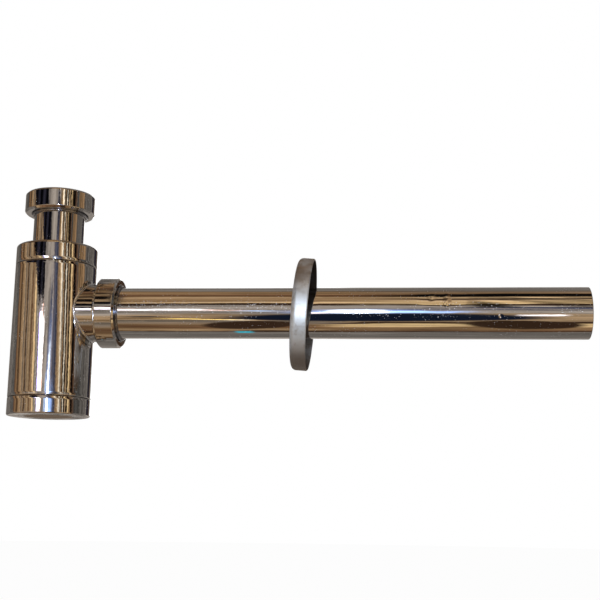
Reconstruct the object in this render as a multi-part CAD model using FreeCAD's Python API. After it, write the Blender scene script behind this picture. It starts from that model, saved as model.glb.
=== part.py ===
import FreeCAD, Part
import math
import os

# A bottle trap for a wash basin. The basin's waste screws into the inlet nut, water drops through the
# inlet tube into the body, rises round it and leaves by the wall tube. Millimetres, +Z up, +X to the
# wall. The origin is on the inlet's axis, on the gasket's upper face, where the waste lands.

# Tubes
tube_radius = 16.0
tube_wall = 1.0
wall_tube_length = 305.0
wall_tube_insertion = 11.5
neck_length = 22.0
dip_height = 11.5
tube_end_round = 0.3

# Body
water_gap = 8.3
body_wall = 1.2
barrel_length = 83.7
cap_height = 12.6
cup_height = 11.1
outlet_drop = 29.6
seam_gap = 0.1
seam_round = 0.6
cap_round = 1.8
cup_round = 0.9

# Cap and cup
cap_top_wall = 2.4
cap_skirt = 2.2
cap_hole_gap = 0.4
cup_floor = 2.5
cup_neck_height = 8.0
cup_neck_wall = 1.9
cup_thread_inset = 3.9
cup_corner_round = 3.0
ring_depth = 6.0
guide_length = 2.5
ring_skirt = 3.0
o_ring_section = 2.0
o_ring_lift = 0.7
groove_depth = 0.7
groove_play = 0.3

# Union nuts, both G 1 1/4 and plain at the thread's pitch radius
nut_wall = 1.7845
nut_length = 12.8
nut_lip = 2.0
nut_chamfer = 1.1
thread_room = 4.2155
thread_relief = 0.8
mouth_chamfer = 0.5

# Spigot, seals and rings
spigot_wall = 2.0
spigot_stub = 4.8
seal_width = 3.0
seal_toe = 0.9
seal_depth = 5.0
seal_rise = 0.5
seal_round = 0.3
ring_flange = 1.0
ring_sleeve = 1.4
ring_proud = 1.2
collar_thickness = 1.5
collar_fillet = 0.4
gasket_thickness = 2.0

# Wall flange
flange_radius = 35.0
flange_depth = 9.8
flange_wall = 1.2
flange_front_round = 3.0
flange_rim_chamfer = 0.5
flange_place = 153.6
flange_lean = 4.2

# Clearances
running_fit = 0.05
thread_fit = 0.05
braze_gap = 0.05
seat_gap = 0.1
face_gap = 0.05
guide_gap = 0.15
lip_gap = 0.6
collar_gap = 1.0
washer_gap = 0.5
groove_gap = 0.02
flange_hole_gap = 0.6
flange_rest_gap = 0.25

# Radii that follow
tube_bore = tube_radius - tube_wall
hug_radius = tube_radius + running_fit
guide_radius = tube_radius + guide_gap
spigot_radius = guide_radius + spigot_wall
body_bore = tube_radius + water_gap
body_radius = body_bore + body_wall
insert_radius = body_bore - braze_gap
thread_radius = tube_radius + thread_room
nut_radius = thread_radius + nut_wall
collar_radius = thread_radius - collar_gap
cap_thread_radius = body_radius - cap_skirt
cup_thread_radius = body_radius - cup_thread_inset
ring_sleeve_radius = tube_radius + ring_sleeve
lip_radius = ring_sleeve_radius + lip_gap
seat_mouth = hug_radius + seal_width + seat_gap
seat_toe = hug_radius + seal_toe + seat_gap
seat_depth = seal_depth + seat_gap
groove_radius = cup_thread_radius - thread_fit - groove_depth
o_ring_radius = groove_radius + groove_gap + o_ring_section / 2
o_ring_bore = o_ring_radius + o_ring_section / 2 + seat_gap

# Heights that follow, from the gasket's upper face down
gasket_stack = gasket_thickness + collar_thickness + ring_flange + 2 * face_gap
collar_top = -gasket_thickness
collar_foot = collar_top - collar_thickness
inlet_ring_top = collar_foot - face_gap
inlet_lip_top = -gasket_stack
inlet_nut_foot = inlet_lip_top - nut_lip
cap_top = inlet_nut_foot - neck_length
barrel_top = cap_top - cap_height
barrel_foot = barrel_top - barrel_length
cup_foot = barrel_foot - cup_height
outlet_level = barrel_top - outlet_drop
dip_end = cup_foot + cup_floor + dip_height
top_ring_mouth = cap_top - cap_top_wall - 2 * face_gap - ring_flange - seal_rise

# Places that follow along the outlet, from the body's axis
outlet_nut_start = body_radius + spigot_stub
outlet_lip_start = outlet_nut_start + nut_length - nut_lip
outlet_ring_start = outlet_lip_start - face_gap - ring_flange
spigot_reach = outlet_ring_start - face_gap - seal_rise
wall_tube_start = spigot_reach - wall_tube_insertion


def point(radius, height):
    """A point of a turned section, in the XZ plane."""
    return FreeCAD.Vector(radius, 0, height)


def corner_arc(before, corner, after, radius):
    """The arc that rounds one corner of a section."""
    back = (before - corner).normalize()
    on = (after - corner).normalize()
    half = back.getAngle(on) / 2
    reach = radius / math.tan(half)
    bisector = (back + on).normalize()
    middle = corner + bisector * (radius / math.sin(half) - radius)
    return Part.Arc(corner + back * reach, middle, corner + on * reach)


def turned(section):
    """A solid of revolution about Z. The section lists radius, height and, at a rounded corner, its radius."""
    corners = [point(*entry[:2]) for entry in section]
    pieces = []
    for index, entry in enumerate(section):
        corner = corners[index]
        if len(entry) == 3:
            after = corners[(index + 1) % len(corners)]
            arc = corner_arc(corners[index - 1], corner, after, entry[2])
            pieces.append((arc.StartPoint, arc.EndPoint, arc.toShape()))
        else:
            pieces.append((corner, corner, None))
    edges = []
    for index, (start, end, arc) in enumerate(pieces):
        if arc:
            edges.append(arc)
        following = pieces[(index + 1) % len(pieces)][0]
        edges.append(Part.LineSegment(end, following).toShape())
    face = Part.Face(Part.Wire(edges))
    return face.revolve(FreeCAD.Vector(0, 0, 0), FreeCAD.Vector(0, 0, 1), 360)


def along_outlet(shape, start):
    """Lay a piece turned about Z along the outlet, its foot at a distance from the body's axis."""
    laid = shape.copy()
    laid.rotate(FreeCAD.Vector(0, 0, 0), FreeCAD.Vector(0, 1, 0), 90)
    laid.translate(FreeCAD.Vector(start, 0, outlet_level))
    return laid


def flipped(shape, level):
    """Turn a piece upside down, its foot then facing up at a level."""
    over = shape.copy()
    over.rotate(FreeCAD.Vector(0, 0, 0), FreeCAD.Vector(1, 0, 0), 180)
    over.translate(FreeCAD.Vector(0, 0, level))
    return over


def lifted(shape, level):
    raised = shape.copy()
    raised.translate(FreeCAD.Vector(0, 0, level))
    return raised


def union_nut():
    """Round nut with its threaded mouth at the foot and a lip that draws on the slip ring at the top."""
    shoulder = nut_length - nut_lip
    relief_start = shoulder - gasket_stack
    relief_radius = thread_radius + thread_relief
    return turned([
        (thread_radius + mouth_chamfer, 0),
        (nut_radius - nut_chamfer, 0),
        (nut_radius, nut_chamfer, nut_chamfer / 2),
        (nut_radius, nut_length - nut_chamfer, nut_chamfer / 2),
        (nut_radius - nut_chamfer, nut_length),
        (lip_radius, nut_length, seal_round),
        (lip_radius, shoulder),
        (relief_radius, shoulder),
        (relief_radius, relief_start),
        (thread_radius, relief_start),
        (thread_radius, mouth_chamfer),
    ])


def slip_ring():
    """Flanged ring between nut and seal. Its sleeve centres the nut's lip and shows as a bead round the tube."""
    sleeve_end = ring_flange + face_gap + nut_lip + ring_proud
    bead_round = (ring_sleeve - running_fit) / 2 - tube_end_round / 2
    return turned([
        (hug_radius + collar_fillet + running_fit, 0),
        (collar_radius, 0, seal_round),
        (collar_radius, ring_flange, seal_round),
        (ring_sleeve_radius, ring_flange),
        (ring_sleeve_radius, sleeve_end, bead_round),
        (hug_radius, sleeve_end, bead_round),
        (hug_radius, collar_fillet + running_fit),
    ])


def cone_seal():
    """Rubber ring with a tapered foot that the slip ring presses into the seat and onto the tube."""
    return turned([
        (hug_radius, -seal_depth, seal_round),
        (hug_radius + seal_toe, -seal_depth, seal_round),
        (hug_radius + seal_width, 0),
        (hug_radius + seal_width, seal_rise, seal_round),
        (hug_radius, seal_rise, seal_round),
    ])


def barrel():
    """The body's middle tube, with the hole that takes the spigot."""
    foot = barrel_foot
    tube = turned([
        (body_bore, foot),
        (body_radius, foot, seam_round),
        (body_radius, barrel_top, seam_round),
        (body_bore, barrel_top),
    ])
    hole = Part.makeCylinder(spigot_radius + braze_gap, 2 * body_radius)
    return tube.cut(along_outlet(hole, 0))


def top_thread_ring():
    """Ring brazed into the barrel's top, with the cap's thread outside and the seal's seat inside."""
    mouth = top_ring_mouth
    shoulder = mouth - seat_depth
    guide_end = shoulder - guide_length
    foot = barrel_top - ring_depth
    skirt_bore = insert_radius - ring_skirt
    return turned([
        (seat_toe, shoulder),
        (seat_mouth, mouth),
        (cap_thread_radius - thread_fit, mouth, seam_round),
        (cap_thread_radius - thread_fit, barrel_top),
        (insert_radius, barrel_top),
        (insert_radius, foot),
        (skirt_bore, foot),
        (skirt_bore, guide_end),
        (guide_radius, guide_end),
        (guide_radius, shoulder),
    ])


def bottom_thread_ring():
    """Ring brazed into the barrel's foot, threaded inside for the cup and bored out for its O-ring."""
    bored_to = barrel_foot + o_ring_lift + o_ring_section + groove_play
    top = bored_to + cup_neck_height
    return turned([
        (o_ring_bore, barrel_foot),
        (insert_radius, barrel_foot),
        (insert_radius, top),
        (cup_thread_radius + mouth_chamfer, top),
        (cup_thread_radius, top - mouth_chamfer),
        (cup_thread_radius, bored_to + mouth_chamfer),
        (cup_thread_radius + mouth_chamfer, bored_to),
        (o_ring_bore, bored_to),
    ])


def outlet_spigot():
    """Side branch: coped flush with the barrel's bore, flared to its thread, with the seal's seat at its end."""
    male_radius = thread_radius - thread_fit
    flare = male_radius - spigot_radius
    flare_end = outlet_nut_start + mouth_chamfer
    blank = turned([
        (guide_radius, 0),
        (spigot_radius, 0),
        (spigot_radius, flare_end, flare - running_fit),
        (male_radius, flare_end),
        (male_radius, spigot_reach - mouth_chamfer),
        (male_radius - mouth_chamfer, spigot_reach),
        (seat_mouth, spigot_reach),
        (seat_toe, spigot_reach - seat_depth),
        (guide_radius, spigot_reach - seat_depth),
    ])
    cope = Part.makeCylinder(body_bore, barrel_length, FreeCAD.Vector(0, 0, barrel_foot))
    return along_outlet(blank, 0).cut(cope)


def body_cap():
    """Screwed cap, flush with the barrel. Its top wall draws the slip ring down on the seal."""
    foot = barrel_top + seam_gap
    roof = cap_top - cap_top_wall
    hole = tube_radius + cap_hole_gap
    return turned([
        (cap_thread_radius, foot),
        (body_radius, foot, seam_round),
        (body_radius, cap_top, cap_round),
        (hole, cap_top, seal_round),
        (hole, roof),
        (cap_thread_radius, roof),
    ])


def cap_slip_ring():
    roof = cap_top - cap_top_wall - face_gap
    outside = cap_thread_radius - washer_gap
    return turned([
        (hug_radius, roof - ring_flange),
        (outside, roof - ring_flange, seal_round),
        (outside, roof, seal_round),
        (hug_radius, roof),
    ])


def bottom_cup():
    """Screwed cup that catches what falls, unscrewed for cleaning, with a groove for its O-ring."""
    shoulder = barrel_foot - seam_gap
    male_radius = cup_thread_radius - thread_fit
    neck_bore = male_radius - cup_neck_wall
    groove_foot = barrel_foot + o_ring_lift - groove_play
    groove_top = groove_foot + o_ring_section + 2 * groove_play
    top = barrel_foot + cup_neck_height
    floor = cup_foot + cup_floor
    return turned([
        (0, cup_foot),
        (body_radius, cup_foot, cup_round),
        (body_radius, shoulder, seam_round),
        (groove_radius, shoulder),
        (groove_radius, groove_top),
        (male_radius, groove_top),
        (male_radius, top - mouth_chamfer),
        (male_radius - mouth_chamfer, top),
        (neck_bore, top),
        (neck_bore, floor, cup_corner_round),
        (0, floor),
    ])


def cup_o_ring():
    centre = barrel_foot + o_ring_lift + o_ring_section / 2
    return Part.makeTorus(o_ring_radius, o_ring_section / 2, FreeCAD.Vector(0, 0, centre))


def inlet_tube():
    """Sliding inlet: a collar for the gasket at the top, and a dip end that makes the water seal."""
    return turned([
        (tube_bore, dip_end, tube_end_round),
        (tube_radius, dip_end, tube_end_round),
        (tube_radius, collar_foot, collar_fillet),
        (collar_radius, collar_foot, seal_round),
        (collar_radius, collar_top, seal_round),
        (tube_bore, collar_top, collar_fillet),
    ])


def inlet_gasket():
    return turned([
        (tube_bore, collar_top),
        (collar_radius, collar_top, seal_round),
        (collar_radius, 0, seal_round),
        (tube_bore, 0),
    ])


def wall_tube():
    return turned([
        (tube_bore, 0, tube_end_round),
        (tube_radius, 0, tube_end_round),
        (tube_radius, wall_tube_length, tube_end_round),
        (tube_bore, wall_tube_length, tube_end_round),
    ])


def wall_flange():
    """Pressed cover for the hole in the wall. It is loose on the tube, hangs on it and leans."""
    hole = tube_radius + flange_hole_gap
    middle = flange_wall / 2
    bore = flange_radius - flange_wall
    shell = turned([
        (hole, -middle),
        (flange_radius, -middle, flange_front_round),
        (flange_radius, flange_depth - middle - flange_rim_chamfer),
        (flange_radius - flange_rim_chamfer, flange_depth - middle),
        (bore, flange_depth - middle),
        (bore, middle, flange_front_round - flange_wall),
        (hole, middle),
    ])
    lean = math.radians(flange_lean)
    hang = hole * math.cos(lean) - middle * math.sin(lean) - tube_radius - flange_rest_gap
    laid = along_outlet(shell, flange_place + middle)
    pivot = FreeCAD.Vector(flange_place + middle, 0, outlet_level)
    laid.rotate(pivot, FreeCAD.Vector(0, 1, 0), flange_lean)
    laid.translate(FreeCAD.Vector(0, 0, -hang))
    return laid


def make_parts():
    inlet_mouth = inlet_nut_foot + nut_length
    return {
        "body_barrel": barrel(),
        "top_thread_ring": top_thread_ring(),
        "bottom_thread_ring": bottom_thread_ring(),
        "outlet_spigot": outlet_spigot(),
        "body_cap": body_cap(),
        "cap_slip_ring": cap_slip_ring(),
        "cap_seal": lifted(cone_seal(), top_ring_mouth),
        "bottom_cup": bottom_cup(),
        "cup_o_ring": cup_o_ring(),
        "inlet_tube": inlet_tube(),
        "inlet_gasket": inlet_gasket(),
        "inlet_slip_ring": flipped(slip_ring(), inlet_ring_top),
        "inlet_nut": flipped(union_nut(), inlet_mouth),
        "outlet_seal": along_outlet(cone_seal(), spigot_reach),
        "outlet_slip_ring": along_outlet(slip_ring(), outlet_ring_start),
        "outlet_nut": along_outlet(union_nut(), outlet_nut_start),
        "wall_tube": along_outlet(wall_tube(), wall_tube_start),
        "wall_flange": wall_flange(),
    }


os.makedirs("parts", exist_ok=True)
for name, shape in make_parts().items():
    shape.exportStep("parts/" + name + ".step")
    print(name, "volume", round(shape.Volume, 1), "valid", shape.isValid())
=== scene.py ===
# Chromed bottle trap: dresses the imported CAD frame, hangs it over a pale floor and lights it with a plain studio set.
import math
import bpy
from mathutils import Matrix, Vector


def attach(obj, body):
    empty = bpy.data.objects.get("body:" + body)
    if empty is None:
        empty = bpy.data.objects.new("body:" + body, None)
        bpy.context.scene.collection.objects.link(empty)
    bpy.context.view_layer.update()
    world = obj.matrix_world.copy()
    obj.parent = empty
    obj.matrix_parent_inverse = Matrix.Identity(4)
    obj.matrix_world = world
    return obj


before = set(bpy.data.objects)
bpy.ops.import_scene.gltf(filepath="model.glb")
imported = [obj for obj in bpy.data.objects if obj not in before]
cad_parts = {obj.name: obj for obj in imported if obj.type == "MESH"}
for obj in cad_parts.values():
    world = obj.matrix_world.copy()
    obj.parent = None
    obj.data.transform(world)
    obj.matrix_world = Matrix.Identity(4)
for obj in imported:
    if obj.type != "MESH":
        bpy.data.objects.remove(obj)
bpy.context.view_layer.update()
print("frame loaded:", len(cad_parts), "nodes")

outletAxis = -0.0708  # level of the branch and of the wall tube

# small helpers

def screenColour(r, g, b):  # 0-255 as seen on a screen
    return tuple((c / 255 / 12.92) if c <= 10 else ((c / 255 + 0.055) / 1.055) ** 2.4 for c in (r, g, b)) + (1.0,)

def deselectAll():
    if bpy.context.object and bpy.context.object.mode != "OBJECT":
        bpy.ops.object.mode_set(mode="OBJECT")
    bpy.ops.object.select_all(action="DESELECT")

def newMaterial(name):
    mat = bpy.data.materials.new(name)
    mat.use_nodes = True
    mat.node_tree.nodes.clear()
    return mat, mat.node_tree, mat.node_tree.nodes.new("ShaderNodeOutputMaterial")

def feed(tree, socket, value):  # a link where value is a socket, else a plain number or colour
    if isinstance(value, bpy.types.NodeSocket):
        tree.links.new(value, socket)
    else:
        socket.default_value = value

def maths(tree, kind, a, b=None, c=None, clamp=False):
    node = tree.nodes.new("ShaderNodeMath")
    node.operation, node.use_clamp = kind, clamp
    for i, value in enumerate((a, b, c)):
        if value is not None:
            feed(tree, node.inputs[i], value)
    return node.outputs[0]

def product(tree, first, *others):
    for other in others:
        first = maths(tree, "MULTIPLY", first, other)
    return first

def awayFrom(tree, value, centre):
    return maths(tree, "ABSOLUTE", maths(tree, "SUBTRACT", value, centre))

def spread(tree, value, low, high, toLow=0.0, toHigh=1.0, smooth=True):
    node = tree.nodes.new("ShaderNodeMapRange")
    node.interpolation_type = "SMOOTHSTEP" if smooth else "LINEAR"
    for name, v in (("Value", value), ("From Min", low), ("From Max", high), ("To Min", toLow), ("To Max", toHigh)):
        feed(tree, node.inputs[name], v)
    return node.outputs[0]

def ramp(tree, factor, stops):
    node = tree.nodes.new("ShaderNodeValToRGB")
    elements = node.color_ramp.elements
    elements.remove(elements[-1])
    elements[0].position, elements[0].color = stops[0]
    for place, colour in stops[1:]:
        elements.new(place).color = colour
    feed(tree, node.inputs["Fac"], factor)
    return node.outputs["Color"]

def blendColour(tree, factor, a, b, kind="MIX"):
    node = tree.nodes.new("ShaderNodeMix")
    node.data_type, node.blend_type = "RGBA", kind
    for i, value in ((0, factor), (6, a), (7, b)):
        feed(tree, node.inputs[i], value)
    return node.outputs[2]

def parts(tree, vector):
    node = tree.nodes.new("ShaderNodeSeparateXYZ")
    feed(tree, node.inputs[0], vector)
    return node.outputs[0], node.outputs[1], node.outputs[2]

def vectorOf(tree, x, y, z):
    node = tree.nodes.new("ShaderNodeCombineXYZ")
    for i, value in enumerate((x, y, z)):
        feed(tree, node.inputs[i], value)
    return node.outputs[0]

def noiseIn(tree, vector, scale, detail=2.0, rough=0.5):
    node = tree.nodes.new("ShaderNodeTexNoise")
    feed(tree, node.inputs["Vector"], vector)
    feed(tree, node.inputs["Scale"], scale)
    node.inputs["Detail"].default_value, node.inputs["Roughness"].default_value = detail, rough
    return node.outputs["Fac"]

def stretched(tree, vector, scale):
    node = tree.nodes.new("ShaderNodeMapping")
    feed(tree, node.inputs["Vector"], vector)
    node.inputs["Scale"].default_value = scale
    return node.outputs[0]

def objectPlace(tree):
    return tree.nodes.new("ShaderNodeTexCoord").outputs["Object"]

def glowing(tree, colour, strength=1.0):
    node = tree.nodes.new("ShaderNodeEmission")
    feed(tree, node.inputs["Color"], colour)
    node.inputs["Strength"].default_value = strength
    return node.outputs[0]

def mixedShader(tree, factor, a, b):
    node = tree.nodes.new("ShaderNodeMixShader")
    for i, value in enumerate((factor, a, b)):
        feed(tree, node.inputs[i], value)
    return node.outputs[0]

# camera

camera = {
    "place": (0.2067, -0.6458, -0.1902),
    "yaw": -0.078, "pitch": 0.195, "roll": 0.014,
    "lens": 63.43, "sensor": 36.0, "clip": (0.01, 50.0),
}

def setCamera(c):
    data = bpy.data.cameras.new("photoCamera")
    data.lens, data.sensor_width = c["lens"], c["sensor"]
    data.clip_start, data.clip_end = c["clip"]
    shot = bpy.data.objects.new("photoCamera", data)
    bpy.context.scene.collection.objects.link(shot)
    yaw, pitch, roll = c["yaw"], c["pitch"], c["roll"]
    ahead = Vector((math.sin(yaw) * math.cos(pitch), math.cos(yaw) * math.cos(pitch), math.sin(pitch)))
    level = Vector((math.cos(yaw), -math.sin(yaw), 0))
    upright = level.cross(ahead)
    right = math.cos(roll) * level + math.sin(roll) * upright
    up = math.cos(roll) * upright - math.sin(roll) * level
    shot.matrix_world = Matrix.Translation(c["place"]) @ Matrix((right, up, -ahead)).transposed().to_4x4()
    bpy.context.scene.camera = shot

setCamera(camera)
bpy.context.scene.view_settings.view_transform = "Standard"
print("camera set")

# pale floor and world

studio = {
    "centre": (0.15, 0.0, -0.07),
    "floorLevel": -0.43, "floorRadius": 7.0, "floorColour": (0.86, 0.86, 0.85, 1),
    "floorGlow": 1.06, "glowShare": 0.85,  # what the camera and the metal see of the floor; the rest keeps its shadow
    "roomRadius": 3.0, "clothShare": 0.99, "clothAbove": 0.004, "fill": 0.62,
}

def seenDirectly(tree):
    path = tree.nodes.new("ShaderNodeLightPath")
    both = maths(tree, "MAXIMUM", path.outputs["Is Camera Ray"], path.outputs["Is Transmission Ray"])
    return maths(tree, "MAXIMUM", both, path.outputs["Is Glossy Ray"])

def makeFloor(s):
    deselectAll()
    bpy.ops.mesh.primitive_circle_add(
        vertices=96, radius=s["floorRadius"], fill_type="NGON", location=(s["centre"][0], 0, s["floorLevel"]))
    floor = bpy.context.object
    floor.name = "studioFloor"
    mat, tree, out = newMaterial("floorWhite")
    matt = tree.nodes.new("ShaderNodeBsdfDiffuse")
    matt.inputs["Color"].default_value = s["floorColour"]
    share = maths(tree, "MULTIPLY", seenDirectly(tree), s["glowShare"])
    lit = mixedShader(tree, share, matt.outputs[0], glowing(tree, (1, 1, 1, 1), s["floorGlow"]))
    below = tree.nodes.new("ShaderNodeNewGeometry").outputs["Backfacing"]  # a view from under the floor sees through it
    clear = tree.nodes.new("ShaderNodeBsdfTransparent").outputs[0]
    feed(tree, out.inputs["Surface"], mixedShader(tree, below, lit, clear))
    floor.data.materials.append(mat)

def setWorld(s):
    world = bpy.data.worlds.new("paleRoom")
    bpy.context.scene.world = world
    world.use_nodes = True
    tree = world.node_tree
    tree.nodes.clear()
    out = tree.nodes.new("ShaderNodeOutputWorld")
    back = tree.nodes.new("ShaderNodeBackground")
    back.inputs["Color"].default_value = (1, 1, 1, 1)
    feed(tree, back.inputs["Strength"], spread(tree, seenDirectly(tree), 0.0, 1.0, s["fill"], 1.0, smooth=False))
    feed(tree, out.inputs["Surface"], back.outputs[0])

makeFloor(studio)
setWorld(studio)
print("floor and world set")

# What the polished metal mirrors: the tones of a lived-in room on a shell and on a floor cloth, and cards before them.
# They light glossy surfaces alone and don't show to the camera.

def onlyMirrored(obj):
    obj.visible_camera = obj.visible_diffuse = obj.visible_shadow = False
    obj.visible_transmission = obj.visible_volume_scatter = False

def degreesRound(angle):  # -180..180 degrees to 0..1
    return angle / 360 + 0.5

tones = {name: screenColour(*rgb) for name, rgb in {
    "wall": (120, 114, 108), "charcoal": (80, 79, 76), "brown": (144, 114, 82), "russet": (114, 82, 58),
    "taupe": (138, 124, 109), "tan": (188, 158, 122), "sand": (216, 182, 138), "gold": (240, 206, 152),
    "cream": (252, 238, 214), "beige": (172, 161, 150), "black": (17, 15, 15), "navy": (24, 32, 50),
    "umber": (64, 46, 34), "night": (27, 26, 33), "slate": (86, 88, 104), "mauve": (122, 113, 118),
}.items()}

# Bands lie round the long axis, in degrees: 0 is towards the camera, 90 overhead, -90 the floor below.
nearBands = [  # by the trap's body
    (-101, "wall"), (-98, "umber"), (-95, "umber"), (-92, "brown"), (-86, "tan"), (-80, "brown"), (-72, "russet"),
    (-62, "brown"), (-50, "taupe"), (-42, "taupe"), (-38, "tan"), (-32, "brown"), (-26, "tan"), (-18, "tan"),
    (-12, "beige"), (24, "beige"), (27, "umber"), (33, "umber"), (36, "sand"), (43, "sand"), (46, "brown"),
    (52, "brown"), (54, "tan"), (57, "brown"), (61, "brown"), (64, "tan"), (68, "brown"), (75, "russet"),
    (82, "russet"), (86, "brown"), (100, "brown"), (114, "wall")]

farBands = [  # by the wall end
    (-101, "wall"), (-98, "umber"), (-96, "umber"), (-93, "russet"), (-86, "brown"), (-72, "brown"), (-67, "gold"),
    (-58, "gold"), (-55, "umber"), (-49, "umber"), (-45, "tan"), (-14, "tan"), (-8, "beige"), (4, "beige"),
    (7, "slate"), (11, "slate"), (14, "beige"), (22, "beige"), (25, "umber"), (28, "umber"), (31, "gold"),
    (35, "gold"), (38, "brown"), (43, "gold"), (50, "tan"), (56, "umber"), (58, "black"), (62, "sand"),
    (71, "black"), (82, "black"), (87, "brown"), (114, "wall")]

doorTop = [  # above the dark doorway
    (22, "brown"), (34, "tan"), (39, "umber"), (42, "black"), (45, "black"), (48, "brown"), (55, "tan"), (58, "black"),
    (63, "umber"), (66, "brown"), (73, "brown"), (77, "umber"), (81, "russet"), (96, "brown"), (112, "wall")]

# Posts stand round the upright axis, in degrees: 0 is towards the camera, 90 the wall tube's side.
leftPosts = [
    (-112, "wall"), (-98, "charcoal"), (-94, "russet"), (-86, "brown"), (-82, "umber"), (-78, "brown"), (-70, "tan"),
    (-67, "taupe"), (-61, "brown"), (-59, "umber"), (-57, "taupe"), (-54, "brown"), (-52, "tan"), (-46, "tan"),
    (-44.5, "russet"), (-42, "russet"), (-40.5, "tan"), (-36, "sand"), (-31, "gold"), (-29, "beige"), (-10, "beige")]

rightPosts = [
    (7, "beige"), (9, "slate"), (12, "slate"), (14, "beige"), (17, "mauve"), (20, "slate"), (27, "slate"),
    (29, "brown"), (36, "sand"), (39, "cream"), (42, "cream"), (43, "brown"), (46, "brown"), (47, "black"),
    (50, "black"), (51, "cream"), (52.5, "cream"), (53.5, "black"), (57, "umber"), (58, "tan"), (60, "tan"),
    (61, "black"), (65, "black"), (66, "gold"), (69, "gold"), (70, "brown"), (73.5, "brown"), (74.5, "black"),
    (80, "black"), (82, "russet"), (88, "charcoal"), (140, "wall")]

# A zone's rows give what it is measured along, where it starts to show and where it is full. x and z are those of the
# direction from the studio's centre, the door's sill and lintel are levels too, and turn and its jambs are in degrees.
zones = {
    "wallEnd": [("x", -0.04, 0.09)],
    "rightHalf": [("turn", -10, -5)],
    "farLeft": [("x", -0.27, -0.31)],
    "farRight": [("x", 0.25, 0.29)],
    "middle": [("x", 0.06, 0.09), ("z", 0.05, 0.075), ("z", 0.32, 0.29)],
    "upright": [("z", 0.75, 0.6), ("z", -0.08, -0.02)],
    "busy": [("z", 0.258, 0.268), ("x", 0.1, 0.14), ("turn", 72, 66)],
    "dimCorner": [("turn", 144, 149)],
    "curtain": [("turn", 78, 82), ("turn", 108, 98), ("z", 0.17, 0.2), ("z", 0.45, 0.35)],
    "slanted": [("z", 0.34, 0.3)],
    "doorway": [("leftJamb", -49, -45), ("rightJamb", -14, -18), ("sill", 0.19, 0.205), ("x", -0.268, -0.282)],
    "lintel": [("lintel", 0.50, 0.53), ("x", -0.28, -0.288)],
}

stripes = {  # scale, darkest and lightest shade
    "bands": (70.0, 0.68, 1.22), "posts": (85.0, 0.52, 1.3), "finePosts": (210.0, 0.74, 1.2),
    "busy": (34.0, 0.12, 1.35), "curtain": (55.0, 0.55, 1.2),
    "overDoor": (80.0, 0.3, 1.15), "doorway": (40.0, 0.15, 2.2),
}

room = {
    "stripeEdges": (0.36, 0.64),
    "swayScale": 4.5, "sway": 0.05,
    "leanUpTo": 0.34, "lean": 0.2, "leanShift": -0.02,
    "slantFrom": 0.22, "slantRise": 0.08, "leftSlant": 1.1, "rightSlant": 0.35,
    "sillScale": 9.0, "sillWave": 0.05, "lintelDrop": (-0.34, -0.3, 0.0, 0.04), "topScale": 16.0, "topWave": 0.04,
    "blotchScale": 2.3, "blotches": (0.3, 0.7, 0.76, 1.22), "paleBehind": (0.72, 0.95, 1.0, 2.3),
}

def zoneMask(tree, places, name):
    edges = []
    for along, start, full in zones[name]:
        if along in ("turn", "leftJamb", "rightJamb"):
            start, full = degreesRound(start), degreesRound(full)
        edges.append(spread(tree, places[along], start, full))
    return product(tree, *edges)

def shaded(tree, colour, shade):
    return blendColour(tree, 1.0, colour, vectorOf(tree, shade, shade, shade), "MULTIPLY")

def striped(tree, colour, angle, name):  # thin uneven stripes
    scale, darkest, lightest = stripes[name]
    noise = tree.nodes.new("ShaderNodeTexNoise")
    noise.noise_dimensions = "1D"
    noise.inputs["Scale"].default_value, noise.inputs["Detail"].default_value = scale, 2.0
    feed(tree, noise.inputs["W"], angle)
    return shaded(tree, colour, spread(tree, noise.outputs["Fac"], *room["stripeEdges"], darkest, lightest))

def toneRamp(tree, turn, stops):
    return ramp(tree, turn, [(degreesRound(a), tones[t]) for a, t in stops])

def wavering(tree, angle, direction, scale, by):
    return maths(tree, "ADD", angle, maths(tree, "MULTIPLY_ADD", noiseIn(tree, direction, scale), by, -by / 2))

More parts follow.
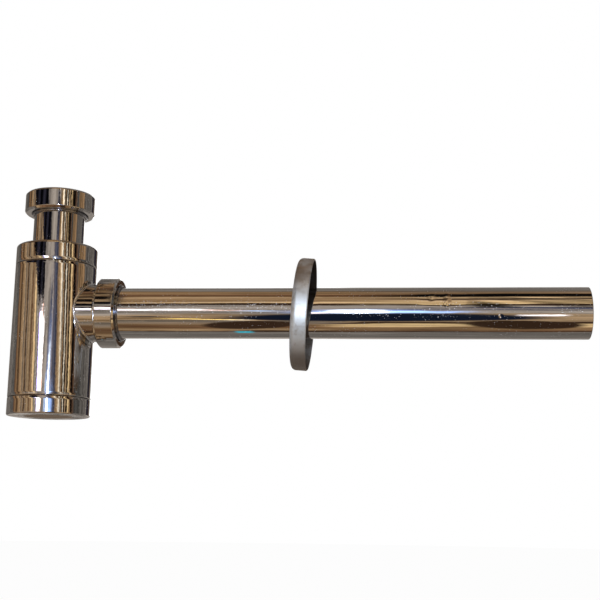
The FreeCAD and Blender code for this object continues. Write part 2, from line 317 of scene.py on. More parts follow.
def roomMaterial(r):
    mat, tree, out = newMaterial("roomTones")
    unit = tree.nodes.new("ShaderNodeVectorMath")
    unit.operation = "NORMALIZE"
    feed(tree, unit.inputs[0], objectPlace(tree))
    direction = unit.outputs[0]
    x, y, z = parts(tree, direction)
    front = maths(tree, "MULTIPLY", y, -1.0)
    rise = maths(tree, "MULTIPLY_ADD", maths(tree, "ARCTAN2", z, front), 1 / math.tau, 0.5)
    turn = maths(tree, "MULTIPLY_ADD", maths(tree, "ARCTAN2", x, front), 1 / math.tau, 0.5)
    rise = wavering(tree, rise, direction, r["swayScale"], r["sway"])
    places = {"x": x, "z": z, "turn": turn}
    masks = {name: zoneMask(tree, places, name) for name in zones if name not in ("doorway", "lintel")}
    bands = blendColour(tree, masks["wallEnd"], toneRamp(tree, rise, nearBands), toneRamp(tree, rise, farBands))
    bands = striped(tree, bands, rise, "bands")
    lean = maths(tree, "MINIMUM", maths(tree, "MAXIMUM", z, 0.0), r["leanUpTo"])
    leant = maths(tree, "ADD", turn, maths(tree, "MULTIPLY_ADD", lean, r["lean"], r["leanShift"]))
    posts = blendColour(tree, masks["rightHalf"], toneRamp(tree, leant, leftPosts), toneRamp(tree, leant, rightPosts))
    posts = striped(tree, striped(tree, posts, leant, "posts"), leant, "finePosts")
    sideways = maths(tree, "MAXIMUM", maths(tree, "MAXIMUM", masks["farLeft"], masks["farRight"]), masks["middle"])
    colour = blendColour(tree, maths(tree, "MULTIPLY", sideways, masks["upright"]), bands, posts)
    busy = striped(tree, colour, turn, "busy")  # busier above, where the nut mirrors it
    colour = blendColour(tree, masks["busy"], colour, busy)
    dimCorner = product(tree, masks["farRight"], masks["dimCorner"], masks["upright"])
    colour = blendColour(tree, dimCorner, colour, tones["night"])
    colour = blendColour(tree, masks["curtain"], colour, striped(tree, tones["brown"], turn, "curtain"))
    above = maths(tree, "MINIMUM", maths(tree, "SUBTRACT", z, r["slantFrom"]), r["slantRise"])  # doorway widens upwards
    places["leftJamb"] = maths(tree, "MULTIPLY_ADD", above, r["leftSlant"], turn)
    above = maths(tree, "MULTIPLY", above, masks["slanted"])
    places["rightJamb"] = maths(tree, "MULTIPLY_ADD", above, r["rightSlant"], turn)
    places["sill"] = maths(tree, "MULTIPLY_ADD", noiseIn(tree, direction, r["sillScale"]), r["sillWave"], z)
    places["lintel"] = maths(tree, "ADD", places["sill"], spread(tree, x, *r["lintelDrop"]))
    lintel = zoneMask(tree, places, "lintel")
    topRise = wavering(tree, rise, direction, r["topScale"], r["topWave"])
    overDoor = striped(tree, toneRamp(tree, topRise, doorTop), topRise, "overDoor")
    colour = blendColour(tree, lintel, colour, overDoor)
    inDoorway = maths(tree, "MULTIPLY", zoneMask(tree, places, "doorway"), maths(tree, "SUBTRACT", 1.0, lintel))
    colour = blendColour(tree, inDoorway, colour, striped(tree, tones["night"], turn, "doorway"))
    colour = shaded(tree, colour, spread(tree, noiseIn(tree, direction, r["blotchScale"], detail=3.0), *r["blotches"]))
    colour = shaded(tree, colour, spread(tree, y, *r["paleBehind"]))
    feed(tree, out.inputs["Surface"], glowing(tree, colour))
    return mat

def makeRoom(s):
    mat = roomMaterial(room)
    deselectAll()
    bpy.ops.mesh.primitive_uv_sphere_add(segments=64, ring_count=32, radius=s["roomRadius"], location=s["centre"])
    shell = bpy.context.object
    shell.name = "roomShell"
    deselectAll()
    bpy.ops.mesh.primitive_circle_add(
        vertices=64, radius=s["roomRadius"] * s["clothShare"], fill_type="NGON", location=s["centre"])
    cloth = bpy.context.object
    cloth.name = "floorCloth"
    bpy.ops.object.mode_set(mode="EDIT")
    bpy.ops.transform.translate(value=(0, 0, s["floorLevel"] + s["clothAbove"] - s["centre"][2]))
    bpy.ops.object.mode_set(mode="OBJECT")
    for obj in (shell, cloth):
        obj.data.materials.append(mat)
        onlyMirrored(obj)

makeRoom(studio)
print("room set:", len(zones), "zones")

# Cards, placed and sized in metres: upright ones face the trap, flat ones lie on the floor, and a lean slides the top
# of the pattern sideways.
cards = {
    "windowCard": {
        "place": (-0.575, -2.26, 0.20), "size": (0.56, 0.33), "colour": (1.0, 0.96, 1.0, 1), "strength": 3.0,
        "soft": 0.25, "lean": -1.3,
        "edges": [  # lilac on the left, warm on the right
            (0.0, (0.35, 0.28, 0.8, 1)), (0.22, (0.6, 0.52, 1.0, 1)), (0.34, (1.0, 0.96, 1.0, 1)),
            (0.72, (1.0, 0.96, 1.0, 1)), (0.84, (1.0, 0.62, 0.5, 1)), (1.0, (0.6, 0.3, 0.18, 1))]},
    "lampCard": {
        "place": (-0.46, -2.2, 0.18), "size": (0.43, 0.28), "colour": (1.0, 0.96, 0.97, 1), "strength": 2.4,
        "soft": 0.35},
    "blueCard": {
        "place": (0.055, -0.66, -0.06), "size": (0.07, 0.07), "colour": (0.5, 0.68, 1.0, 1), "strength": 1.4,
        "soft": 0.9},
    "flashCard": {
        "place": (0.172, -0.86, -0.105), "size": (0.10, 0.32), "colour": (0.82, 0.92, 1.0, 1), "strength": 6.0,
        "soft": 0.75},
    "haloCard": {
        "place": (0.18, -0.9, -0.13), "size": (0.32, 0.52), "colour": (0.3, 0.45, 0.9, 1), "strength": 1.6, "soft": 1.0,
        "oval": True},
    "glareCard": {
        "place": (0.225, -0.665, -0.11), "size": (0.24, 0.16), "colour": (0.3, 0.5, 1.0, 1), "strength": 3.0,
        "soft": 0.95},
    "besideCard": {
        "place": (0.127, -0.66, -0.165), "size": (0.04, 0.07), "colour": (1.0, 0.9, 0.93, 1), "strength": 2.4,
        "soft": 0.6},
    "lowCard": {
        "place": (0.405, -0.66, -0.295), "size": (0.07, 0.09), "colour": (1.0, 0.95, 0.97, 1), "strength": 2.6,
        "soft": 0.4},
    "coatCard": {
        "place": (0.21, -0.35, -0.275), "size": (0.37, 0.345), "colour": tones["navy"], "strength": 0.8, "soft": 0.3,
        "oval": True},
    "darkCard": {
        "place": (-0.1, -0.655, -0.37), "size": (0.09, 0.075), "colour": tones["navy"], "strength": 1.0, "soft": 0.5,
        "oval": True},
    "leftMat": {
        "place": (0.078, -0.21, -0.422), "size": (0.10, 0.36), "colour": tones["umber"], "strength": 0.9, "soft": 0.2,
        "oval": True, "flat": True},
    "rightMat": {
        "place": (0.345, -0.22, -0.422), "size": (0.125, 0.38), "colour": tones["umber"], "strength": 0.8, "soft": 0.2,
        "oval": True, "flat": True},
    "goldCard": {
        "place": (0.0, -0.49, -0.42), "size": (0.22, 0.035), "colour": (1.0, 0.70, 0.2, 1), "strength": 2.4,
        "soft": 0.6, "flat": True, "turn": 0.78},
    "backWindow": {
        "place": (-0.3, 2.3, 0.5), "size": (0.9, 1.1), "colour": (0.95, 0.98, 1.0, 1), "strength": 2.2, "soft": 0.2},
    "backDoor": {
        "place": (0.75, 2.2, 0.2), "size": (0.45, 1.9), "colour": tones["umber"], "strength": 1.0, "soft": 0.2},
    "backShelf": {
        "place": (0.2, 2.1, -0.25), "size": (3.0, 0.12), "colour": tones["black"], "strength": 1.0, "soft": 0.3},
    "creamCard": {
        "place": (0.048, -0.435, -0.419), "size": (0.045, 0.03), "colour": (1.0, 0.94, 0.8, 1), "strength": 2.2,
        "soft": 0.7, "flat": True},
    "glintCard": {
        "place": (0.078, 0.07, -0.422), "size": (0.022, 0.10), "colour": (0.1, 0.75, 0.95, 1), "strength": 0.7,
        "soft": 0.6, "flat": True},
}
halfCard = 0.5  # in a card's own coordinates

def makeCard(name, c):
    deselectAll()
    lie = (0, 0, c.get("turn", 0)) if c.get("flat") else (math.pi / 2, 0, 0)
    bpy.ops.mesh.primitive_grid_add(x_subdivisions=2, y_subdivisions=2, size=1, location=c["place"], rotation=lie)
    card = bpy.context.object
    card.name = name
    card.scale = (*c["size"], 1)
    mat, tree, out = newMaterial(name + "Glow")
    place = objectPlace(tree)
    x, y, z = parts(tree, place)
    if "lean" in c:  # the pattern leans on a card made wide enough to hold it
        slide = c["lean"] * c["size"][1] / c["size"][0]
        card.scale[0] *= 1 + abs(slide)
        x = maths(tree, "MULTIPLY_ADD", y, -slide, maths(tree, "MULTIPLY", x, 1 + abs(slide)))
    core = halfCard * (1 - c["soft"])
    if c.get("oval"):
        reach = tree.nodes.new("ShaderNodeVectorMath")
        reach.operation = "LENGTH"
        feed(tree, reach.inputs[0], place)
        fade = spread(tree, reach.outputs["Value"], halfCard, core)
    else:
        fade = product(tree, *(spread(tree, maths(tree, "ABSOLUTE", v), halfCard, core) for v in (x, y)))
    colour = ramp(tree, maths(tree, "ADD", x, halfCard), c["edges"]) if "edges" in c else c["colour"]
    clear = tree.nodes.new("ShaderNodeBsdfTransparent").outputs[0]
    feed(tree, out.inputs["Surface"], mixedShader(tree, fade, clear, glowing(tree, colour, c["strength"])))
    card.data.materials.append(mat)
    onlyMirrored(card)

for cardName, cardValues in cards.items():
    makeCard(cardName, cardValues)

flash = {"place": (0.174, -0.85, -0.13), "size": 0.05, "power": 2.2, "colour": (0.86, 0.93, 1.0)}

def makeFlash(f):
    data = bpy.data.lights.new("smallFlash", "AREA")
    data.shape, data.size, data.energy, data.color = "DISK", f["size"], f["power"], f["colour"]
    lamp = bpy.data.objects.new("smallFlash", data)
    bpy.context.scene.collection.objects.link(lamp)
    lamp.location = f["place"]
    lamp.rotation_euler = (Vector(studio["centre"]) - Vector(f["place"])).to_track_quat("-Z", "Y").to_euler()

makeFlash(flash)
print("studio set:", len(cards), "cards")

# shared effects, each built once

effectValues = {
    "dust": {"size": 0.26, "patchScale": 60.0, "patches": (0.46, 0.62)},
    "marks": {
        "broadScale": 45.0, "broad": (0.48, 0.75), "broadShare": 0.7,
        "streakStretch": (0.25, 1.0, 1.0), "streakScale": 320.0, "streaks": (0.5, 0.8)},
    "scratch": {
        "sets": ((0.35, 70.0), (-0.6, 95.0)), "tilt": (1.0, 1.7, 0.6), "stretch": (0.12, 1.6, 1.6),
        "closer": 5, "width": 0.0035, "some": (0.58, 0.66)},
    "bends": {"closer": 7.0},
}

def newGroup(name, numbers, outputs):  # a place and numbers go in, numbers come out
    group = bpy.data.node_groups.new(name, "ShaderNodeTree")
    group.interface.new_socket(name="Vector", in_out="INPUT", socket_type="NodeSocketVector")
    for label, value in numbers.items():
        socket = group.interface.new_socket(name=label, in_out="INPUT", socket_type="NodeSocketFloat")
        socket.default_value = value
    for label in outputs:
        group.interface.new_socket(name=label, in_out="OUTPUT", socket_type="NodeSocketFloat")
    return group, group.nodes.new("NodeGroupInput").outputs, group.nodes.new("NodeGroupOutput").inputs

def dustGroup(e):  # small pale specks, more of them in some places than others
    group, gin, gout = newGroup("dustSpecks", {"Scale": 900.0, "Amount": 0.3, "Even": 0.0}, ["Mask"])
    cells = group.nodes.new("ShaderNodeTexVoronoi")
    feed(group, cells.inputs["Vector"], gin["Vector"])
    feed(group, cells.inputs["Scale"], gin["Scale"])
    hue = group.nodes.new("ShaderNodeSeparateColor")
    feed(group, hue.inputs[0], cells.outputs["Color"])
    dot = maths(group, "LESS_THAN", cells.outputs["Distance"], maths(group, "MULTIPLY", hue.outputs[0], e["size"]))
    chosen = maths(group, "LESS_THAN", hue.outputs[1], gin["Amount"])
    patchy = spread(group, noiseIn(group, gin["Vector"], e["patchScale"]), *e["patches"])
    patchy = maths(group, "MAXIMUM", patchy, gin["Even"])
    feed(group, gout["Mask"], product(group, dot, chosen, patchy))
    return group

def marksGroup(e):  # wiped marks and dried drops, as a change of gloss
    group, gin, gout = newGroup("wipedMarks", {"Amount": 1.0}, ["Mask"])
    broad = noiseIn(group, gin["Vector"], e["broadScale"], detail=4.0, rough=0.6)
    broad = spread(group, broad, *e["broad"])
    streak = noiseIn(group, stretched(group, gin["Vector"], e["streakStretch"]), e["streakScale"], detail=3.0)
    streak = maths(group, "MULTIPLY", spread(group, streak, *e["streaks"]), 1 - e["broadShare"])
    both = maths(group, "MULTIPLY_ADD", broad, e["broadShare"], streak)
    feed(group, gout["Mask"], maths(group, "MULTIPLY", both, gin["Amount"]))
    return group

def scratchGroup(e):  # hairline scratches in two directions
    group, gin, gout = newGroup("hairlines", {"Amount": 1.0}, ["Mask"])
    lines = []
    for turn, scale in e["sets"]:
        spun = group.nodes.new("ShaderNodeMapping")
        feed(group, spun.inputs["Vector"], gin["Vector"])
        spun.inputs["Rotation"].default_value = tuple(turn * t for t in e["tilt"])
        spun.inputs["Scale"].default_value = e["stretch"]
        field = noiseIn(group, spun.outputs[0], scale * e["closer"], detail=1.0)
        thin = spread(group, awayFrom(group, field, 0.5), e["width"], 0.0)
        some = spread(group, noiseIn(group, gin["Vector"], scale), *e["some"])
        lines.append(maths(group, "MULTIPLY", thin, some))
    feed(group, gout["Mask"], maths(group, "MULTIPLY", maths(group, "MAXIMUM", *lines), gin["Amount"]))
    return group

def bendsGroup(e):  # the slow unevenness of a polished wall, which makes mirrored lines wander
    group, gin, gout = newGroup("slowBends", {"Scale": 30.0, "Fine": 0.15}, ["Height"])
    slow = noiseIn(group, gin["Vector"], gin["Scale"], detail=1.0)
    fine = noiseIn(group, gin["Vector"], maths(group, "MULTIPLY", gin["Scale"], e["closer"]))
    feed(group, gout["Height"], maths(group, "MULTIPLY_ADD", fine, gin["Fine"], slow))
    return group

def lengthOf(tree, a, b):
    return maths(tree, "SQRT", maths(tree, "MULTIPLY_ADD", a, a, maths(tree, "MULTIPLY", b, b)))

def lathedGroup():  # radius and distance along one of the trap's two axes
    group, gin, gout = newGroup("lathePlace", {"AlongOutlet": 0.0}, ["Radius", "Along"])
    x, y, z = parts(group, gin["Vector"])
    outlet = lengthOf(group, y, maths(group, "SUBTRACT", z, outletAxis))
    for label, a, b in (("Radius", lengthOf(group, y, x), outlet), ("Along", z, x)):
        node = group.nodes.new("ShaderNodeMix")
        feed(group, node.inputs[0], gin["AlongOutlet"])
        feed(group, node.inputs[2], a)
        feed(group, node.inputs[3], b)
        feed(group, gout[label], node.outputs[0])
    return group

effects = {
    "dust": dustGroup(effectValues["dust"]), "marks": marksGroup(effectValues["marks"]),
    "scratch": scratchGroup(effectValues["scratch"]), "bends": bendsGroup(effectValues["bends"]),
    "lathe": lathedGroup(),
}

def useEffect(tree, name, vector, **values):
    node = tree.nodes.new("ShaderNodeGroup")
    node.node_tree = effects[name]
    feed(tree, node.inputs["Vector"], vector)
    for label, value in values.items():
        feed(tree, node.inputs[label], value)
    return node.outputs

print("shared effects:", len(effects))

# finishes

def newFinish(name):
    mat, tree, out = newMaterial(name)
    shader = tree.nodes.new("ShaderNodeBsdfPrincipled")
    feed(tree, out.inputs["Surface"], shader.outputs[0])
    return mat, tree, shader.inputs, objectPlace(tree)

def bumped(tree, height, strength, distance, below=None):
    node = tree.nodes.new("ShaderNodeBump")
    node.inputs["Strength"].default_value, node.inputs["Distance"].default_value = strength, distance
    feed(tree, node.inputs["Height"], height)
    if below is not None:
        feed(tree, node.inputs["Normal"], below)
    return node.outputs[0]

chromeValues = {
    "colour": (0.735, 0.722, 0.712, 1), "gloss": 0.035, "marksGloss": 0.06,
    "dustScale": 1500.0, "dust": 0.3, "dustColour": screenColour(226, 225, 232), "dustGloss": 0.45, "dustMetal": -0.6,
    "bendScale": 55.0, "bendHeight": 0.00015, "scratchHeight": 0.000002, "scratchGloss": 0.2,
    "bareTones": (screenColour(176, 140, 84), screenColour(126, 96, 60)), "bareScale": 420.0, "bareEdge": 0.0002,
    "bareGloss": 0.3, "gripLength": 0.4, "gripHeight": 0.3, "gripStrength": 1.6, "grimeGloss": 0.4,
}

def grippedDust(tree, place, patch, c):  # where the tube was handled: coarser specks, denser towards the middle
    x, y, z = parts(tree, place)
    gripped = maths(tree, "MULTIPLY",
        spread(tree, awayFrom(tree, x, patch["middle"]), patch["reach"], patch["reach"] * c["gripLength"]),
        spread(tree, awayFrom(tree, z, patch["level"]), patch["height"], patch["height"] * c["gripHeight"]))
    coarse = useEffect(tree, "dust", place, Scale=patch["scale"], Amount=patch["amount"], Even=1.0)["Mask"]
    return product(tree, coarse, gripped, c["gripStrength"])

def dented(tree, place, dent, normal):
    away = tree.nodes.new("ShaderNodeVectorMath")
    away.operation = "DISTANCE"
    feed(tree, away.inputs[0], stretched(tree, place, dent["stretch"]))
    away.inputs[1].default_value = tuple(p * s for p, s in zip(dent["place"], dent["stretch"]))
    return bumped(tree, spread(tree, away.outputs["Value"], 0.0, dent["reach"]), 1.0, dent["depth"], normal)

def makeChrome(
        name, c, along=0.0, bareInside=None, bends=(1.0, 1.0, 0.25), fine=0.12, dents=(), handled=(), seams=None):
    mat, tree, shader, place = newFinish(name)
    lathe = useEffect(tree, "lathe", place, AlongOutlet=along)
    dust = useEffect(tree, "dust", place, Scale=c["dustScale"], Amount=c["dust"])["Mask"]
    for patch in handled:
        dust = maths(tree, "MAXIMUM", dust, grippedDust(tree, place, patch, c))
    marks = useEffect(tree, "marks", place)["Mask"]
    scratch = useEffect(tree, "scratch", place)["Mask"]
    slow = useEffect(tree, "bends", stretched(tree, place, bends), Scale=c["bendScale"], Fine=fine)["Height"]
    colour = blendColour(tree, dust, c["colour"], c["dustColour"])
    gloss = maths(tree, "MULTIPLY_ADD", marks, c["marksGloss"], c["gloss"])
    gloss = maths(tree, "MULTIPLY_ADD", scratch, c["scratchGloss"], gloss)
    gloss = maths(tree, "MULTIPLY_ADD", dust, c["dustGloss"], gloss, clamp=True)
    if bareInside:  # the bore isn't plated: it is raw drawn brass
        bare = spread(tree, lathe["Radius"], bareInside, bareInside - c["bareEdge"])
        brass = blendColour(tree, noiseIn(tree, place, c["bareScale"], detail=3.0), *c["bareTones"])
        colour = blendColour(tree, bare, colour, brass)
        gloss = maths(tree, "MULTIPLY_ADD", bare, c["bareGloss"], gloss)
    normal = bumped(tree, slow, 1.0, c["bendHeight"])
    if seams:  # polishing rolled the metal over beside each seam, and dirt sits in it
        nearest = maths(tree, "MINIMUM", *(awayFrom(tree, lathe["Along"], level) for level in seams["levels"]))
        normal = bumped(tree, spread(tree, nearest, seams["roll"], 0.0), 1.0, -seams["drop"], normal)
        sunk = maths(tree, "MULTIPLY",
            spread(tree, lathe["Radius"], *seams["grimeRadii"]), spread(tree, nearest, *seams["grimeWidth"]))
        colour = blendColour(tree, sunk, colour, seams["grime"])
        gloss = maths(tree, "MULTIPLY_ADD", sunk, c["grimeGloss"], gloss, clamp=True)
    for dent in dents:
        normal = dented(tree, place, dent, normal)
    feed(tree, shader["Base Color"], colour)
    feed(tree, shader["Roughness"], gloss)
    feed(tree, shader["Metallic"], maths(tree, "MULTIPLY_ADD", dust, c["dustMetal"], 1.0, clamp=True))
    feed(tree, shader["Normal"], bumped(tree, scratch, 1.0, -c["scratchHeight"], normal))
    return mat

brassValues = {
    "tones": (screenColour(205, 168, 104), screenColour(160, 122, 72)), "gloss": 0.22, "marksGloss": 0.2,
    "ringScale": 6500.0, "ringStrength": 0.6, "ringHeight": 0.00003,
}

def makeBrass(b):
    mat, tree, shader, place = newFinish("turnedBrass")
    shader["Metallic"].default_value = 1.0
    lathe = useEffect(tree, "lathe", place, AlongOutlet=0.0)
    marks = useEffect(tree, "marks", place)["Mask"]
    rings = noiseIn(tree, vectorOf(tree, lathe["Radius"], lathe["Along"], 0.0), b["ringScale"], detail=1.0)
    feed(tree, shader["Base Color"], blendColour(tree, marks, *b["tones"]))
    feed(tree, shader["Roughness"], maths(tree, "MULTIPLY_ADD", marks, b["marksGloss"], b["gloss"]))
    feed(tree, shader["Normal"], bumped(tree, rings, b["ringStrength"], b["ringHeight"]))
    return mat

rubberValues = {
    "tones": (screenColour(26, 26, 27), screenColour(48, 47, 46)), "gloss": 0.52, "grainGloss": 0.2,
    "grainScale": 2600.0, "grainDetail": 3.0, "grainStrength": 0.5, "grainHeight": 0.00003,
}

nylonValues = {
    "tones": (screenColour(232, 229, 220), screenColour(208, 202, 188)), "gloss": 0.32, "grainGloss": 0.15,
    "grainScale": 1400.0, "grainDetail": 4.0, "grainStrength": 0.3, "grainHeight": 0.00002,
    "waxy": 0.2, "waxyRadius": (0.001, 0.0009, 0.0007),
}

def makeMoulded(name, m):
    mat, tree, shader, place = newFinish(name)
    grain = noiseIn(tree, place, m["grainScale"], m["grainDetail"])
    marks = useEffect(tree, "marks", place)["Mask"]
    feed(tree, shader["Base Color"], blendColour(tree, marks, *m["tones"]))
    feed(tree, shader["Roughness"], maths(tree, "MULTIPLY_ADD", grain, m["grainGloss"], m["gloss"]))
    feed(tree, shader["Normal"], bumped(tree, grain, m["grainStrength"], m["grainHeight"]))
    if "waxy" in m:
        shader["Subsurface Weight"].default_value = m["waxy"]
        shader["Subsurface Radius"].default_value = m["waxyRadius"]
    return mat

flangeValues = {  # levels are from the tube's axis
    # The pale bluish colour is a painted highlight band. Above it lies a painted brown reflection and below it painted
    # shade, both set by level.
    "colour": screenColour(226, 234, 242), "gloss": 0.46, "metal": 0.8,
    "paintedTopReflection": screenColour(158, 134, 108), "topReflectionLevels": (0.006, 0.024),
    "topReflectionScale": 70.0, "topReflectionSpread": (0.3, 0.6, 0.35, 1.0),
    "low": screenColour(138, 126, 116), "lowShadeLevels": (-0.019, -0.033),
    "stain": screenColour(140, 130, 121), "marksGloss": 0.12,
    "smudgeStretch": (1.0, 1.0, 0.6), "smudgeScale": 210.0, "smudges": (0.5, 0.66),
    "smudge": 0.35, "smudgeGloss": -0.09,
    "dustColour": screenColour(206, 204, 200), "dustScale": 1300.0, "dust": 0.35, "dustMetal": -0.3,
    "blastScale": 3800.0, "blastGloss": 0.06, "blastStrength": 0.25, "blastHeight": 0.00002, "scratchHeight": 0.000004,
    "plate": 0.1542, "lean": math.radians(4.2),
    # painted shade: the inside of the hollow is darkened towards this near black
    "shadeInHollow": screenColour(34, 36, 42), "shadeInHollowShare": 0.8,
    "hollowRadii": (0.0340, 0.0338), "hollowFront": (0.0002, 0.0005), "hollowBack": (0.0092, 0.0090),
}

# where the painted shade lies: the inside of the flange's hollow
def flangeHollow(tree, place, f):
    laid = tree.nodes.new("ShaderNodeMapping")  # square to the leaning flange, from the middle of its plate
    laid.vector_type = "TEXTURE"
    feed(tree, laid.inputs["Vector"], place)
    laid.inputs["Location"].default_value = (f["plate"], 0.0, outletAxis)
    laid.inputs["Rotation"].default_value = (0.0, f["lean"], 0.0)
    along, across, up = parts(tree, laid.outputs[0])
    inside = spread(tree, lengthOf(tree, across, up), *f["hollowRadii"])
    return product(tree, inside, spread(tree, along, *f["hollowFront"]), spread(tree, along, *f["hollowBack"]))

def makeSatinNickel(f):
    mat, tree, shader, place = newFinish("satinNickel")
    x, y, z = parts(tree, place)
    blast = noiseIn(tree, place, f["blastScale"])
    marks = useEffect(tree, "marks", place)["Mask"]
    scratch = useEffect(tree, "scratch", place)["Mask"]
    dust = useEffect(tree, "dust", place, Scale=f["dustScale"], Amount=f["dust"])["Mask"]
    smudge = noiseIn(tree, stretched(tree, place, f["smudgeStretch"]), f["smudgeScale"], detail=3.0, rough=0.6)
    smudge = spread(tree, smudge, *f["smudges"])
    # painted reflection above the axis and painted shade below it, with the pale painted highlight left between them
    paintedTopReflection, low = (spread(tree, z, *(outletAxis + level for level in f[key])) for key in ("topReflectionLevels", "lowShadeLevels"))
    paintedTopReflection = maths(tree, "MULTIPLY", paintedTopReflection, spread(tree, noiseIn(tree, place, f["topReflectionScale"], detail=3.0), *f["topReflectionSpread"]))
    colour = blendColour(tree, paintedTopReflection, f["colour"], f["paintedTopReflection"])
    colour = blendColour(tree, low, colour, f["low"])
    colour = blendColour(tree, marks, colour, f["stain"])
    colour = blendColour(tree, maths(tree, "MULTIPLY", smudge, f["smudge"]), colour, f["stain"])
    colour = blendColour(tree, dust, colour, f["dustColour"])
    # painted shade inside the hollow
    hollow = maths(tree, "MULTIPLY", flangeHollow(tree, place, f), f["shadeInHollowShare"])
    gloss = maths(tree, "MULTIPLY_ADD", marks, f["marksGloss"], f["gloss"])
    gloss = maths(tree, "MULTIPLY_ADD", smudge, f["smudgeGloss"], gloss)
    normal = bumped(tree, blast, f["blastStrength"], f["blastHeight"])
    feed(tree, shader["Base Color"], blendColour(tree, hollow, colour, f["shadeInHollow"]))
    feed(tree, shader["Metallic"], maths(tree, "MULTIPLY_ADD", dust, f["dustMetal"], f["metal"]))
    feed(tree, shader["Roughness"], maths(tree, "MULTIPLY_ADD", blast, f["blastGloss"], gloss))
    feed(tree, shader["Normal"], bumped(tree, scratch, 1.0, -f["scratchHeight"], normal))
    return mat

tubeDents = [
    {"place": (0.243, -0.0135, -0.0622), "stretch": (1.0, 1.2, 1.2), "reach": 0.017, "depth": 0.00022},
    {"place": (0.2375, -0.0144, -0.0638), "stretch": (1.0, 1.0, 1.0), "reach": 0.0035, "depth": 0.0001},
    {"place": (0.2465, -0.0150, -0.0655), "stretch": (2.0, 1.0, 1.0), "reach": 0.006, "depth": 0.00014},
    {"place": (0.1665, -0.0148, -0.0648), "stretch": (1.0, 1.0, 1.0), "reach": 0.005, "depth": 0.00006},
    {"place": (0.2785, -0.0153, -0.0755), "stretch": (1.0, 1.0, 1.0), "reach": 0.0018, "depth": 0.0001},
]

tubeHandled = [
    {"middle": 0.068, "reach": 0.028, "level": -0.0690, "height": 0.0045, "scale": 1000.0, "amount": 1.0},
    {"middle": 0.072, "reach": 0.030, "level": -0.0685, "height": 0.004, "scale": 1700.0, "amount": 1.0},
    {"middle": 0.138, "reach": 0.026, "level": -0.0700, "height": 0.005, "scale": 950.0, "amount": 1.0},
    {"middle": 0.130, "reach": 0.032, "level": -0.0690, "height": 0.0045, "scale": 1700.0, "amount": 1.0},
    {"middle": 0.218, "reach": 0.036, "level": -0.0735, "height": 0.004, "scale": 1000.0, "amount": 0.9},
    {"middle": 0.262, "reach": 0.030, "level": -0.0685, "height": 0.004, "scale": 1000.0, "amount": 0.6},
    {"middle": 0.322, "reach": 0.010, "level": -0.0725, "height": 0.003, "scale": 900.0, "amount": 0.9},
]

bodySeams = {
    "levels": (-0.04115, -0.12495), "roll": 0.0022, "drop": 0.00012,
    "grime": screenColour(30, 26, 22), "grimeRadii": (0.0253, 0.02515), "grimeWidth": (0.0012, 0.001),
}

finish = {
    "upright": makeChrome(
        "chromeUpright", chromeValues, bareInside=0.01515, bends=(1.0, 1.0, 0.4), fine=0.2, seams=bodySeams),
    # joint bead: a lighter copy of the chrome as a painted highlight, with a rougher gloss
    "bead": makeChrome("chromeBeadPaintedHighlight", {**chromeValues, "colour": (0.86, 0.87, 0.9, 1), "gloss": 0.2}),
    # slip rings: a darker copy of the chrome, painted shade for the dark gap inside the nuts
    "ring": makeChrome("chromeRingPaintedShade", {**chromeValues, "colour": (0.34, 0.345, 0.37, 1), "gloss": 0.1}),
    "outlet": makeChrome("chromeOutlet", chromeValues, along=1.0, bareInside=0.0158, bends=(0.25, 1.0, 1.0)),
    "tube": makeChrome(
        "chromeTube", chromeValues, along=1.0, bareInside=0.01515, bends=(0.2, 1.0, 1.0),
        dents=tubeDents, handled=tubeHandled),
    "brass": makeBrass(brassValues), "rubber": makeMoulded("blackRubber", rubberValues),
    "nylon": makeMoulded("whiteNylon", nylonValues), "satin": makeSatinNickel(flangeValues),
}

nodeFinish = {
    "body_barrel": "upright", "body_cap": "upright", "bottom_cup": "upright", "inlet_tube": "upright",
    "inlet_nut": "upright", "inlet_slip_ring": "ring", "outlet_slip_ring": "ring",
    "outlet_spigot": "outlet", "outlet_nut": "outlet", "wall_tube": "tube", "wall_flange": "satin",
    "top_thread_ring": "brass", "bottom_thread_ring": "brass", "cap_slip_ring": "nylon",
    "cap_seal": "rubber", "cup_o_ring": "rubber", "outlet_seal": "rubber", "inlet_gasket": "rubber",
}

for nodeName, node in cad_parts.items():
    for materialSlot in node.material_slots:
        materialSlot.material = finish[nodeFinish[nodeName]]
print("finishes given to", len(nodeFinish), "nodes")

# turned threads: a ridge swept up a helix, run out to nothing at both ends

threads = {
    "inletNutThread": {
        "body": "inlet_union", "slot": "turned_brass", "finish": "brass",
        "wall": 0.0202155, "crest": 0.01948, "pitch": 0.002309, "start": 0.0004, "turns": 2.1},
    "outletNutThread": {
        "body": "outlet_union", "slot": "turned_brass", "finish": "brass", "outlet": True,
        "wall": 0.0202155, "crest": 0.01948, "pitch": 0.002309, "start": 0.0316, "turns": 2.0},
    "spigotThread": {
        "body": "trap_body", "slot": "polished_chrome", "finish": "outlet", "outlet": True,
        "wall": 0.0201655, "crest": 0.02093, "pitch": 0.002309, "start": 0.0327545, "turns": 2.3},
    "capThread": {
        "body": "cap", "slot": "turned_brass", "finish": "brass",
        "wall": 0.0233, "crest": 0.0225, "pitch": 0.0015, "start": -0.0409, "turns": 5.6},
    "topRingThread": {
        "body": "trap_body", "slot": "turned_brass", "finish": "brass",
        "wall": 0.02325, "crest": 0.02405, "pitch": 0.0015, "start": -0.04015, "turns": 4.2},
    "cupThread": {
        "body": "cup", "slot": "turned_brass", "finish": "brass",
        "wall": 0.02155, "crest": 0.02235, "pitch": 0.0015, "start": -0.1215, "turns": 2.2},
    "bottomRingThread": {
        "body": "trap_body", "slot": "turned_brass", "finish": "brass",
        "wall": 0.0216, "crest": 0.0208, "pitch": 0.0015, "start": -0.12075, "turns": 3.6},
}
ridgeShape = {  # steps in a turn, depth of the foot in the wall, base as a share of the pitch, run-out in turns
    "steps": 64, "sunk": 0.00008, "baseShare": 0.42, "runOut": 0.35, "smoothBelow": 35,
}

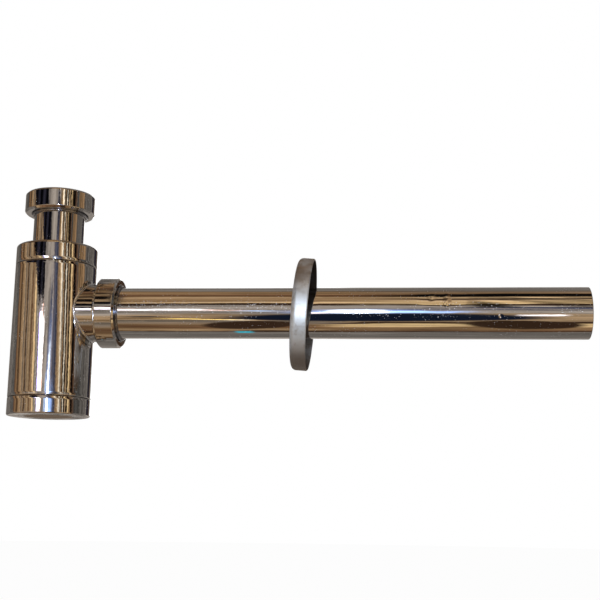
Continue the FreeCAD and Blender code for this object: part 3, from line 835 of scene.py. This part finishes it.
def makeThread(name, t, s):
    inward = 1 if t["crest"] > t["wall"] else -1
    foot = t["wall"] - inward * s["sunk"]
    halfBase = t["pitch"] * s["baseShare"] / 2
    deselectAll()
    bpy.ops.mesh.primitive_circle_add(
        vertices=3, radius=halfBase, fill_type="NOTHING",
        location=(t["wall"], 0, t["start"]), rotation=(math.pi / 2, 0, 0))
    ridge = bpy.context.object
    ridge.name = name
    bpy.ops.object.transform_apply(location=True, rotation=True, scale=True)
    for vert, (out, up) in zip(ridge.data.vertices, ((foot, -halfBase), (foot, halfBase), (t["crest"], 0.0))):
        vert.co = (out, 0, t["start"] + up)
    sweep = ridge.modifiers.new("helix", "SCREW")
    sweep.axis, sweep.angle = "Z", math.tau * t["turns"]
    sweep.screw_offset = t["pitch"] * t["turns"]
    sweep.iterations = 1
    sweep.steps = sweep.render_steps = round(s["steps"] * t["turns"])
    sweep.use_merge_vertices = False
    bpy.ops.object.modifier_apply(modifier="helix")
    verts = ridge.data.vertices
    runOut = s["steps"] * s["runOut"]
    lastRow = len(verts) // 3 - 1
    for i, vert in enumerate(verts):
        share = min(1.0, (i // 3) / runOut, (lastRow - i // 3) / runOut)
        radius = math.hypot(vert.co.x, vert.co.y)
        scaled = foot + (radius - foot) * share
        vert.co.x *= scaled / radius
        vert.co.y *= scaled / radius
    if t.get("outlet"):
        ridge.rotation_euler = (0, math.pi / 2, 0)
        ridge.location = (0, 0, outletAxis)
        bpy.ops.object.transform_apply(location=True, rotation=True, scale=True)
    bpy.ops.object.mode_set(mode="EDIT")
    bpy.ops.mesh.select_all(action="SELECT")
    bpy.ops.mesh.fill_holes(sides=4)
    bpy.ops.mesh.select_all(action="SELECT")
    bpy.ops.mesh.normals_make_consistent(inside=False)
    bpy.ops.object.mode_set(mode="OBJECT")
    bpy.ops.object.shade_smooth_by_angle(angle=math.radians(s["smoothBelow"]))
    ridge.data.materials.append(finish[t["finish"]])
    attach(ridge, t["body"])

for threadName, threadValues in threads.items():
    makeThread(threadName, threadValues, ridgeShape)
print("threads turned:", len(threads))

# the brazed joint of the branch: a small polished bead that follows the cope on the barrel

jointBead = {"barrel": 0.0255, "branch": 0.01815, "thickness": 0.0008, "segments": 160, "sides": 12}

def makeJointBead(b):
    deselectAll()
    bpy.ops.mesh.primitive_torus_add(
        major_radius=b["branch"], minor_radius=b["thickness"], major_segments=b["segments"], minor_segments=b["sides"],
        location=(0, 0, outletAxis), rotation=(0, math.pi / 2, 0))
    bead = bpy.context.object
    bead.name = "jointBead"
    bpy.ops.object.transform_apply(location=True, rotation=True, scale=True)
    for vert in bead.data.vertices:
        vert.co.x += math.sqrt(b["barrel"] ** 2 - min(abs(vert.co.y), b["branch"]) ** 2)
    bpy.ops.object.shade_smooth()
    # the bead takes the lighter chrome that paints a highlight on it
    bead.data.materials.append(finish["bead"])
    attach(bead, "trap_body")

makeJointBead(jointBead)
print("joint bead laid")
